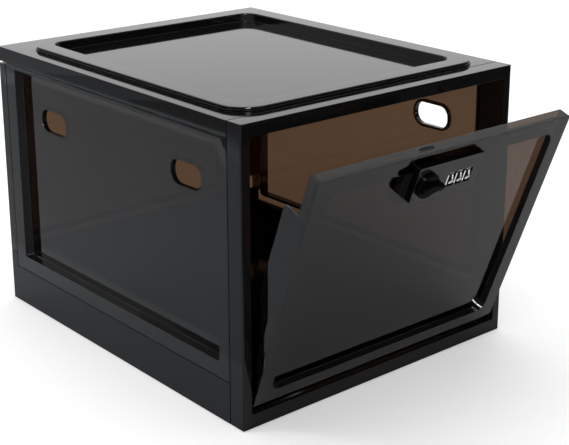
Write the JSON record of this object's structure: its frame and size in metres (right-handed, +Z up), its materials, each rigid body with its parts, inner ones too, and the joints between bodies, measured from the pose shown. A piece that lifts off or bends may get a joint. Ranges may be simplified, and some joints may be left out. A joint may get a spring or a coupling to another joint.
{
  "type": "lockable storage box",
  "caption": "Box with smoked see-through side, back and drop-front door panels, a rimmed stacking lid, side hand holes and a combination dial lock with a turn knob.",
  "frame": {"origin": "middle of the box's footprint, on the flat underside of the base", "axes": "+X to the right seen from the door, +Y from the door to the back, +Z up"},
  "size_m": [0.35, 0.5123, 0.2945],
  "materials": {
    "black": "polished black moulding",
    "smoke": "polished smoked clear moulding",
    "lock_black": "satin black moulding",
    "dial_black": "black wheel with pale numbers",
    "steel": "zinc-plated steel"
  },
  "bodies": {
    "shell": {"base_tray": "black", "lid": "black", "front_frame": "black", "left_panel": "smoke", "right_panel": "smoke", "back_panel": "smoke", "hinge_pin_left": "steel", "hinge_pin_right": "steel"},
    "door": {"door_panel": "smoke", "lock_housing": "lock_black", "lock_case": "lock_black", "lock_screws": "steel", "dial_axle": "steel"},
    "dial_a": {"dial_1": "dial_black"},
    "dial_b": {"dial_2": "dial_black"},
    "dial_c": {"dial_3": "dial_black"},
    "turn_knob": {"knob": "lock_black", "spindle": "steel", "crank": "steel"},
    "bolt": {"latch_bolt": "lock_black"}
  },
  "joints": [
    {"name": "door_hinge", "type": "hinge", "parent": "shell", "child": "door", "pos_m": [0, -0.202, 0.025], "axis": [1, 0, 0], "range_deg": [-20.5, 69.5]},
    {"name": "knob_turn", "type": "hinge", "parent": "door", "child": "turn_knob", "pos_m": [-0.034, -0.28583, 0.23066], "axis": [0, -0.9367, -0.3502], "range_deg": [0, 90.1]},
    {"name": "bolt_slide", "type": "slide", "parent": "door", "child": "bolt", "axis": [0, -0.3502, 0.9367], "range_m": [0, 0.00905]},
    {"name": "dial_a_spin", "type": "hinge", "parent": "door", "child": "dial_a", "pos_m": [0.0003, -0.28366, 0.22828], "axis": [1, 0, 0], "continuous": true},
    {"name": "dial_b_spin", "type": "hinge", "parent": "door", "child": "dial_b", "pos_m": [0.0112, -0.28366, 0.22828], "axis": [1, 0, 0], "continuous": true},
    {"name": "dial_c_spin", "type": "hinge", "parent": "door", "child": "dial_c", "pos_m": [0.0221, -0.28366, 0.22828], "axis": [1, 0, 0], "continuous": true}
  ],
  "couplings": [
    {"joint": "knob_turn", "follows": "bolt_slide", "rad_per_m": 173.55}
  ]
}
